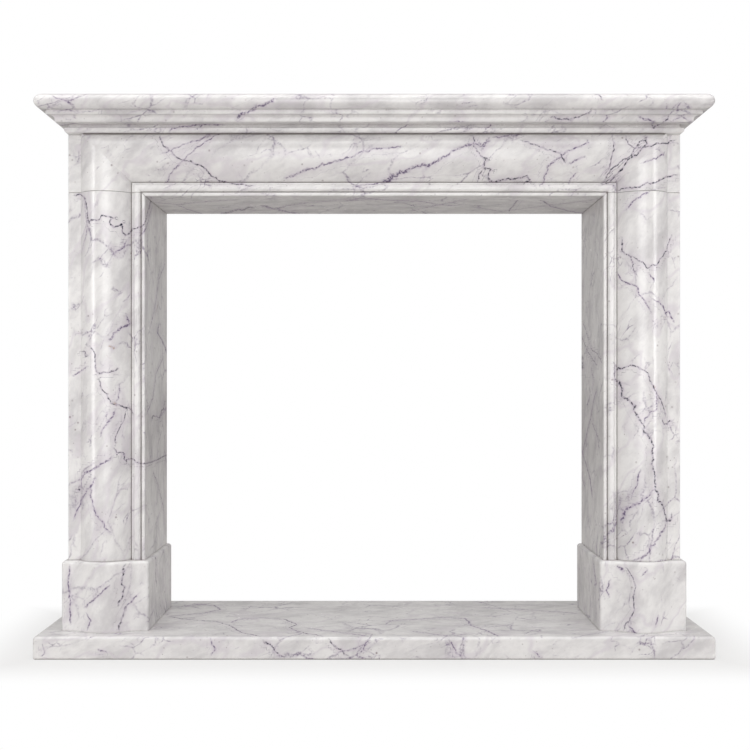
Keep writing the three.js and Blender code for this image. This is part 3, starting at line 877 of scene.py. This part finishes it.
def polished_marble(name, tilt, shift):
    """Veined marble under a hard polish, for one stone, its bedding turned in degrees and moved in mm."""
    material = bpy.data.materials.new("polished_marble_" + name)
    material.use_nodes = True
    material.node_tree.nodes.clear()
    add = partial(add_node, material.node_tree)
    block, beds = lay_beds(add, tilt, shift)
    beads = add("TexNoise", {"Vector": block, "Scale": 1 / BEAD_SIZE, "Detail": 2.0})["Fac"]
    beads = add("MapRange", {"Value": beads, "From Min": 0.43, "From Max": 0.56, "To Min": 0.1})[0]
    colour = draw_clouds(add, beds)
    colour = draw_hairlines(add, block, beds, beads, colour)
    colour = draw_specks(add, block, colour)
    colour = draw_main_veins(add, block, beads, colour)

    # Painted shade: the colour is darkened towards a brown-grey where ambient occlusion finds creases and
    # hollows.
    openness = add("AmbientOcclusion", {"Distance": CREASE_SHADE_REACH * MM}, samples=6)["AO"]
    painted_crease_shade = {"Value": openness, "From Min": 0.72, "From Max": 0.2, "To Max": CREASE_SHADE_SHARE}
    painted_crease_shade = add("MapRange", painted_crease_shade, interpolation_type="SMOOTHSTEP")[0]
    colour = add("Mix", {"Factor": painted_crease_shade, 6: colour, 7: CREASE_SHADE}, data_type="RGBA")[2]

    mottle = add("TexNoise", {"Vector": block, "Scale": 1 / MOTTLE_SIZE, "Detail": 3.0})["Fac"]
    grain = add("MapRange", {"Value": mottle, "To Min": 0.95, "To Max": 1.05})[0]
    colour = add("VectorMath", {0: colour, "Scale": grain}, operation="SCALE")[0]
    gloss = add("MapRange", {"Value": mottle, "To Min": 0.2, "To Max": 0.3})[0]
    ripple = add("Bump", {"Height": mottle, "Strength": 0.04, "Distance": 0.3 * MM})[0]
    shine = {"Base Color": colour, "Roughness": gloss, "IOR": 1.6, "Normal": ripple}
    add("OutputMaterial", {"Surface": add("BsdfPrincipled", shine)[0]})
    return material


BEDDING = {
    "hearth": ((0, 25, -10), (310, 90, 40)), "plinth_left": ((10, 60, 15), (-250, 60, 800)),
    "plinth_right": ((0, 62, -12), (600, 180, -300)), "jamb_left": ((12, 62, 10), (80, 420, 0)),
    "jamb_right": ((-8, 65, 14), (-500, 0, 260)), "lintel": ((8, 30, 6), (0, 240, 120)),
    "bed_moulding": ((0, 28, 10), (900, 0, 0)), "shelf": ((5, 30, -8), (-120, 700, 330)),
}
for stone in stones:
    name = stone.name.removesuffix("_stone")
    stone.data.materials.append(polished_marble(name, *BEDDING[name]))
    print(name, "polished,", len(stone.data.materials[0].node_tree.nodes), "nodes")

# %% [markdown]
# ## Studio
# The photograph has a white ground with no horizon, a broad soft light, and a faint shadow where the hearth
# meets the floor. A sheet of paper that curves up behind would leave a grey gradient. So the floor is matt
# paper that glows to the camera's own rays only, plain white away from the hearth and dimmer beside it.
# Beside the hearth the shade is partly real shadow on the paper and partly painted shade in the dimmer glow.

# %% Floor
SHADOW_REACH = 0.2
CONTACT_GLOW = 0.6

floor_mesh = bpy.data.meshes.new("floor")
floor_mesh.from_pydata([(-20, -10, 0), (20, -10, 0), (20, 40, 0), (-20, 40, 0)], [], [(0, 1, 2, 3)])
floor = bpy.data.objects.new("floor", floor_mesh)
scene.collection.objects.link(floor)
paper = bpy.data.materials.new("white_paper")
paper.use_nodes = True
tree = paper.node_tree
tree.nodes.clear()
place = add_node(tree, "TexCoord")["Object"]
mirrored_place = add_node(tree, "VectorMath", {0: place}, operation="ABSOLUTE")[0]
hearth_corner = (*(stone_box["hearth"][1, :2] * MM), 0.0)
beside = add_node(tree, "VectorMath", {0: mirrored_place, 1: hearth_corner}, operation="SUBTRACT")[0]
beside = add_node(tree, "SeparateXYZ", {0: beside})
away = add_node(tree, "Math", {0: beside["X"], 1: beside["Y"]}, operation="MAXIMUM")[0]
# The glow is dimmer near the hearth: a painted shade round its foot, on top of the real shadow on the matt
# paper.
glow = add_node(tree, "MapRange", {
    "Value": away, "From Min": 0.0, "From Max": SHADOW_REACH, "To Min": CONTACT_GLOW, "To Max": 1.0,
}, interpolation_type="SMOOTHSTEP")["Result"]
seen = add_node(tree, "LightPath")["Is Camera Ray"]
glow = add_node(tree, "Math", {0: glow, 1: seen}, operation="MULTIPLY")[0]
matt = add_node(tree, "BsdfDiffuse", {"Color": linear("#d6d4d2")})[0]
white = add_node(tree, "Emission", {"Color": (1, 1, 1, 1), "Strength": 1.0})[0]
mixed = add_node(tree, "MixShader", {0: glow, 1: matt, 2: white})[0]
add_node(tree, "OutputMaterial", {"Surface": mixed})
floor_mesh.materials.append(paper)
print("floor fades to white over", SHADOW_REACH, "m")

# %% [markdown]
# Two tall softboxes stand far out at the left and right, where they draw streaks on the crests and light the
# flat margins little. A third stands behind the camera and a wide one hangs overhead.

# %% Lamps
LAMPS = {
    "left": dict(place=(-2.5, -2.5, 0.8), aim=(-1.75, 0.0, 0.65), size=(0.8, 2.0), spread=75, power=9.5),
    "right": dict(place=(2.5, -2.5, 0.8), aim=(1.75, 0.0, 0.65), size=(0.8, 2.0), spread=75, power=9.5),
    "front": dict(place=(0.0, -3.2, 1.0), aim=(0.0, 0.0, 0.7), size=(1.3, 1.9), spread=180, power=26.0),
    "overhead": dict(place=(0.0, -1.8, 5.0), aim=(0.0, -0.3, 0.0), size=(6.0, 4.0), spread=180, power=180.0),
}
for name, lamp in LAMPS.items():
    light = bpy.data.objects.new(name, bpy.data.lights.new(name, "AREA"))
    scene.collection.objects.link(light)
    light.location = lamp["place"]
    light.rotation_euler = (Vector(lamp["aim"]) - light.location).to_track_quat("-Z", "Y").to_euler()
    light.data.shape = "RECTANGLE"
    light.data.size, light.data.size_y = lamp["size"]
    light.data.spread = np.radians(lamp["spread"])
    light.data.energy = lamp["power"]
    print(name, "lamp,", lamp["power"], "W")

# %% [markdown]
# The camera sees a white room. To every other ray the room is dim, and lighter behind the mantel than in
# front of it, because light comes through the opening onto the reveals.

# %% World
ROOM_FRONT, ROOM_BACK = 0.22, 0.46
ROOM_TURN = 0.2
world = bpy.data.worlds.new("studio")
scene.world = world
world.use_nodes = True
tree = world.node_tree
tree.nodes.clear()
towards = add_node(tree, "SeparateXYZ", {0: add_node(tree, "TexCoord")["Generated"]})["Y"]
room = add_node(tree, "MapRange", {
    "Value": towards, "From Min": -ROOM_TURN, "From Max": ROOM_TURN,
    "To Min": ROOM_FRONT, "To Max": ROOM_BACK,
})["Result"]
seen = add_node(tree, "LightPath")["Is Camera Ray"]
strength = add_node(tree, "Math", {0: room, 1: seen}, operation="MAXIMUM")[0]
hue = add_node(tree, "Mix", {"Factor": seen, 6: linear("#fffdfb"), 7: (1, 1, 1, 1)}, data_type="RGBA")[2]
backdrop = add_node(tree, "Background", {"Color": hue, "Strength": strength})[0]
add_node(tree, "OutputWorld", {"Surface": backdrop})
scene.view_settings.view_transform = "Standard"
print("room gives", ROOM_FRONT, "in front and", ROOM_BACK, "behind")
